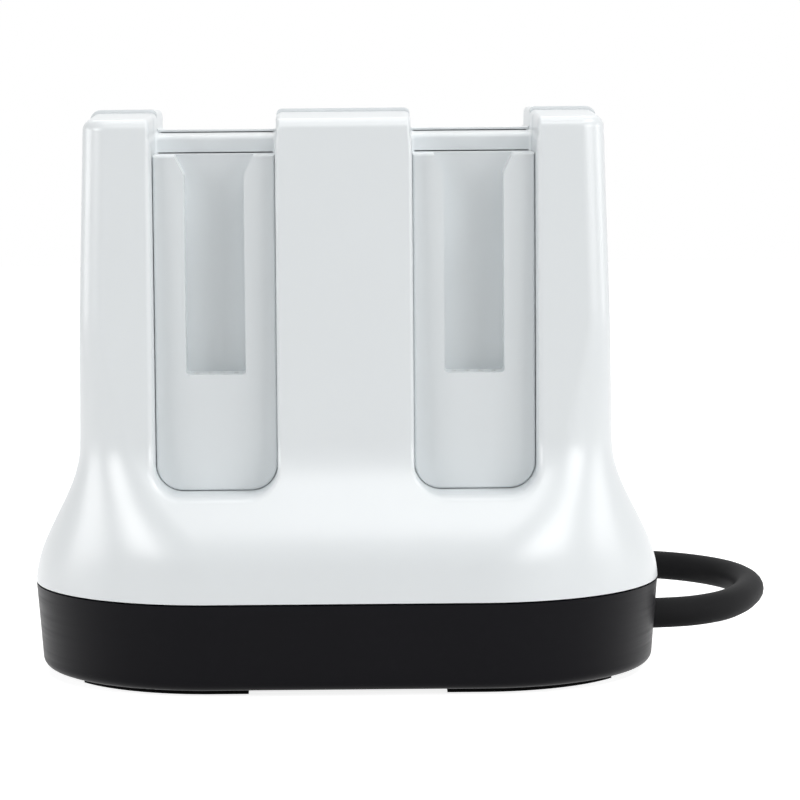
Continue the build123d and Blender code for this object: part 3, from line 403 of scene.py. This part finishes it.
def housing_half(name, field, axes, keep, joints):
    """One half of the housing, cut clean at the parting plane and at the rim, as a closed mesh."""

    def capped(x, y, z):
        below_rim = SEAM_Z - CAP_BELOW_RIM - z
        past_parting = -keep * y - CAP_PAST_PARTING
        return np.maximum(np.maximum(field(x, y, z), below_rim), past_parting)

    points, faces = net_of_field(capped, axes)
    mesh = bpy.data.meshes.new(name)
    mesh.from_pydata((points * MM).tolist(), [], faces.tolist())
    form = bmesh.new()
    form.from_mesh(mesh)
    cuts = (
        (Vector((0, keep * PARTING * MM, 0)), Vector((0, -keep, 0))),
        (Vector((0, 0, SEAM_Z * MM)), Vector((0, 0, -1))),
    )
    for place, outward in cuts:
        parts = form.verts[:] + form.edges[:] + form.faces[:]
        bmesh.ops.bisect_plane(form, geom=parts, dist=1e-7, plane_co=place, plane_no=outward, clear_outer=True)
        rim = [edge for edge in form.edges if edge.is_boundary]
        rim = [e for e in rim if all(abs((v.co - place).dot(outward)) < 1e-6 for v in e.verts)]
        bmesh.ops.holes_fill(form, edges=rim, sides=0)
    loose = [vert for vert in form.verts if not vert.link_faces]
    bmesh.ops.delete(form, geom=loose, context="VERTS")
    for low, high, push in joints:
        cut_joint(form, low, high, push)
    bmesh.ops.recalc_face_normals(form, faces=form.faces[:])
    form.normal_update()
    form.to_mesh(mesh)
    form.free()
    for polygon in mesh.polygons:
        polygon.use_smooth = True

    def unit(vectors):
        return vectors / (np.linalg.norm(vectors, axis=1, keepdims=True) + 1e-12)

    coords = np.array([vert.co for vert in mesh.vertices]) / MM
    corner_verts = np.array([loop.vertex_index for loop in mesh.loops])
    corner_faces = np.repeat(np.arange(len(mesh.polygons)), [p.loop_total for p in mesh.polygons])
    flat = np.array([polygon.normal for polygon in mesh.polygons])
    middles = np.array([polygon.center for polygon in mesh.polygons]) / MM
    smooth = unit(field_slopes(field, coords))
    turned = np.sum(unit(field_slopes(field, middles)) * flat, axis=1) < 0.7
    normals = np.where(turned[corner_faces][:, None], flat[corner_faces], smooth[corner_verts])
    mesh.normals_split_custom_set(normals.tolist())
    mesh.materials.append(white_plastic)
    piece = bpy.data.objects.new(name, mesh)
    scene.collection.objects.link(piece)
    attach(piece, "root")
    return piece


coarse, fine = ((0.68, 0.34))
bay_edges = [(s - BAY_EDGE_ZONE, s + BAY_EDGE_ZONE) for s in BAY_EDGES_X]
across_axis = graded(-GRID_HALF_WIDTH, GRID_HALF_WIDTH, coarse, fine, bay_edges)
up_axis = graded(SEAM_Z - GRID_PAST_CUT, REAR_TOP + 1.0, coarse, fine, FINE_HEIGHTS)
panel_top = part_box("bay_panel_left")[1][2] / MM
bay_sides = [
    (side * BAY_X - BAY_HALF_WIDTH + JOINT_END, side * BAY_X + BAY_HALF_WIDTH - JOINT_END) for side in (-1, 1)
]
panel_joints = [
    ((a, BAY_FLOOR_Y - 0.1, panel_top), (b, BAY_FLOOR_Y + 0.1, panel_top + PANEL_JOINT), (0, JOINT_DEPTH, 0))
    for a, b in bay_sides
]
lap_joints = [
    ((a, PARTING - 0.05, FRONT_NOTCH - 0.2), (b, PARTING + 0.05, FRONT_NOTCH + LAP_JOINT), (0, JOINT_DEPTH, 0))
    for a, b in bay_sides
]
front_axis = graded(-GRID_DEPTH, GRID_PAST_CUT, coarse, fine, FINE_DEPTHS)
front_field = housing_field(FRONT_TOP, FRONT_NOTCH)
front_shell = housing_half("front_shell", front_field, (across_axis, front_axis, up_axis), -1, panel_joints)
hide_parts("front_housing")
rear_axis = graded(-GRID_PAST_CUT, GRID_DEPTH, coarse, fine, [])
rear_field = housing_field(REAR_TOP, REAR_NOTCH)
rear_shell = housing_half("rear_shell", rear_field, (across_axis, rear_axis, up_axis), 1, lap_joints)
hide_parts("rear_housing")


# Power cord: one smooth line out of the base, round to the rear, four turns, and on to the plug

lead_points = [
    (0.05132, 0.00461, 0.0075),
    (0.05667, 0.00536, 0.0075),
    (0.0614, 0.0079, 0.0075),
    (0.0662, 0.0130, 0.0075),
    (0.0700, 0.0214, 0.0076),
    (0.0726, 0.0324, 0.0076),
    (0.0702, 0.0452, 0.0077),
    (0.0620, 0.0556, 0.0077),
    (0.0500, 0.0598, 0.0078),
    (0.0372, COIL_TANGENT_Y, 0.0078),
    (COIL_X + COIL_LEAD_IN, COIL_TANGENT_Y, 0.0078),
    (COIL_X + 0.010, COIL_TANGENT_Y, 0.0078),
]


COIL_STEP_FROM = 0.72
TIE_SPAN = 0.09
TIE_SQUEEZE = 0.17


def coil_points(per_turn=16):
    """Turns of the put-away cord, clockwise from above: outer and inner above, then inner and outer below."""
    r = CORD_DIAMETER / 2
    centre_y = COIL_TANGENT_Y + COIL_MID_RADIUS + r
    stations = [(r, 3 * r), (-r, 3 * r), (-r, r), (r, r)]
    points = []
    for turn, (column, layer) in enumerate(stations):
        following = stations[min(turn + 1, 3)]
        for i in range(per_turn):
            share = i / per_turn
            change = max(0.0, (share - COIL_STEP_FROM) / (1 - COIL_STEP_FROM))
            change = change * change * (3 - 2 * change)
            out = column + (following[0] - column) * change
            up = layer + (following[1] - layer) * change
            angle = 2 * math.pi * share
            far = max(0.0, 1 - abs(share - 0.5) / TIE_SPAN)
            squeeze = 1 - TIE_SQUEEZE * far
            radius = (COIL_MID_RADIUS + out * squeeze) / math.cos(math.pi / per_turn) ** 0.5
            height = 2 * r + (up - 2 * r) * squeeze
            points.append((COIL_X - radius * math.sin(angle), centre_y - radius * math.cos(angle), height))
    return points


plug_run = [
    (COIL_X + 0.004, COIL_TANGENT_Y, PLUG_LEAD_Z),
    (COIL_X - 0.004, COIL_TANGENT_Y, PLUG_LEAD_Z),
    (COIL_X - COIL_LEAD_IN - 0.0005, COIL_TANGENT_Y, PLUG_LEAD_Z),
]
route = lead_points + coil_points()[1:] + plug_run
line = bpy.data.curves.new("power_cord", "CURVE")
line.dimensions = "3D"
spline = line.splines.new("NURBS")
spline.points.add(len(route) - 1)
for point, place in zip(spline.points, route):
    point.co = (*place, 1.0)
spline.order_u = 3
spline.use_endpoint_u = True
spline.resolution_u = 10
line.bevel_depth = CORD_DIAMETER / 2
line.bevel_resolution = 8
line.use_fill_caps = True
line.materials.append(cord_jacket)
power_cord = bpy.data.objects.new("power_cord", line)
scene.collection.objects.link(power_cord)
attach(power_cord, "root")
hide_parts("cable_lead", "cable_coil")

# Studio: pale floor that keeps the shadow, white surround, soft lamps

FLOOR_Z = -0.0002
FLOOR_GLOW = 0.85
LAMP_DISTANCE = 0.9
LAMP_AIM = Vector((0, 0, 0.05))

floor_mesh = bpy.data.meshes.new("floor")
floor_mesh.from_pydata([(x, y, FLOOR_Z) for x, y in ((-1, -1), (1, -1), (1, 1), (-1, 1))], [], [(0, 1, 2, 3)])
floor = bpy.data.objects.new("floor", floor_mesh)
scene.collection.objects.link(floor)


def backdrop_rays(nodes, links):
    """1 for the rays that show the backdrop: to the camera, and by way of gloss or glass."""
    path = nodes.new("ShaderNodeLightPath")
    first = nodes.new("ShaderNodeMath")
    first.operation = "MAXIMUM"
    links.new(path.outputs["Is Camera Ray"], first.inputs[0])
    links.new(path.outputs["Is Glossy Ray"], first.inputs[1])
    both = nodes.new("ShaderNodeMath")
    both.operation = "MAXIMUM"
    links.new(first.outputs["Value"], both.inputs[0])
    links.new(path.outputs["Is Transmission Ray"], both.inputs[1])
    return both.outputs["Value"]


floor_paint, nodes, links = new_material("floor_paint")
shader = nodes["Principled BSDF"]
shader.inputs["Base Color"].default_value = (0.75, 0.75, 0.75, 1)
shader.inputs["Roughness"].default_value = 0.9
shader.inputs["Specular IOR Level"].default_value = 0.0
shader.inputs["Emission Color"].default_value = (1, 1, 1, 1)
glow = nodes.new("ShaderNodeMath")
glow.operation = "MULTIPLY"
glow.inputs[1].default_value = FLOOR_GLOW
links.new(backdrop_rays(nodes, links), glow.inputs[0])
links.new(glow.outputs["Value"], shader.inputs["Emission Strength"])
floor_mesh.materials.append(floor_paint)

world = bpy.data.worlds.new("surround")
world.use_nodes = True
scene.world = world
nodes, links = world.node_tree.nodes, world.node_tree.links
background = nodes["Background"]
background.inputs["Color"].default_value = (1, 1, 1, 1)
strength = nodes.new("ShaderNodeMapRange")
strength.inputs["To Min"].default_value = 0.03
strength.inputs["To Max"].default_value = 1.0
links.new(backdrop_rays(nodes, links), strength.inputs["Value"])
links.new(strength.outputs["Result"], background.inputs["Strength"])


def soft_lamp(name, azimuth, elevation, width, height, watts):
    """Area lamp aimed at the dock from a direction in degrees; the azimuth is 0 in front and grows to the right."""
    lamp = bpy.data.lights.new(name, "AREA")
    lamp.shape = "RECTANGLE"
    lamp.size = width
    lamp.size_y = height
    lamp.energy = watts
    turn, rise = math.radians(azimuth), math.radians(elevation)
    outward = Vector((math.cos(rise) * math.sin(turn), -math.cos(rise) * math.cos(turn), math.sin(rise)))
    item = bpy.data.objects.new(name, lamp)
    scene.collection.objects.link(item)
    item.location = LAMP_AIM + LAMP_DISTANCE * outward
    item.rotation_euler = (-outward).to_track_quat("-Z", "Y").to_euler()


soft_lamp("overhead", 0, 90, 0.6, 0.6, 2.2)
soft_lamp("back_high", 180, 50, 0.8, 0.3, 1.8)
soft_lamp("front_high", 15, 50, 0.5, 0.25, 1.35)
soft_lamp("front_left", -48, 18, 0.4, 0.3, 2.1)
soft_lamp("front_right", 44, 15, 0.5, 0.3, 2.2)
soft_lamp("left", -92, 8, 0.5, 0.3, 1.7)
soft_lamp("right", 92, 9, 0.4, 0.3, 1.2)
soft_lamp("right_high", 73, 55, 0.35, 0.25, 2.0)

# Camera at the photograph's angle: in front, a little above, with a long lens

IMAGE_PIXELS = 800.0
FOCAL_PIXELS = 3544.0
CENTRE_PIXEL_X = 345.5
SENSOR_WIDTH = 36.0
PITCH_DOWN = 6.11
ROLL = -0.5

camera_data = bpy.data.cameras.new("camera")
camera_data.sensor_fit = "HORIZONTAL"
camera_data.sensor_width = SENSOR_WIDTH
camera_data.lens = SENSOR_WIDTH * FOCAL_PIXELS / IMAGE_PIXELS
camera_data.shift_x = (IMAGE_PIXELS / 2 - CENTRE_PIXEL_X) / IMAGE_PIXELS
camera_data.clip_start = 0.01
camera = bpy.data.objects.new("camera", camera_data)
scene.collection.objects.link(camera)
camera.location = (0.0, -0.596, 0.109)
camera.rotation_euler = Euler((math.radians(90 - PITCH_DOWN), 0.0, 0.0), "XYZ")
camera.rotation_euler.rotate_axis("Z", math.radians(ROLL))
scene.camera = camera
scene.view_settings.view_transform = "Standard"
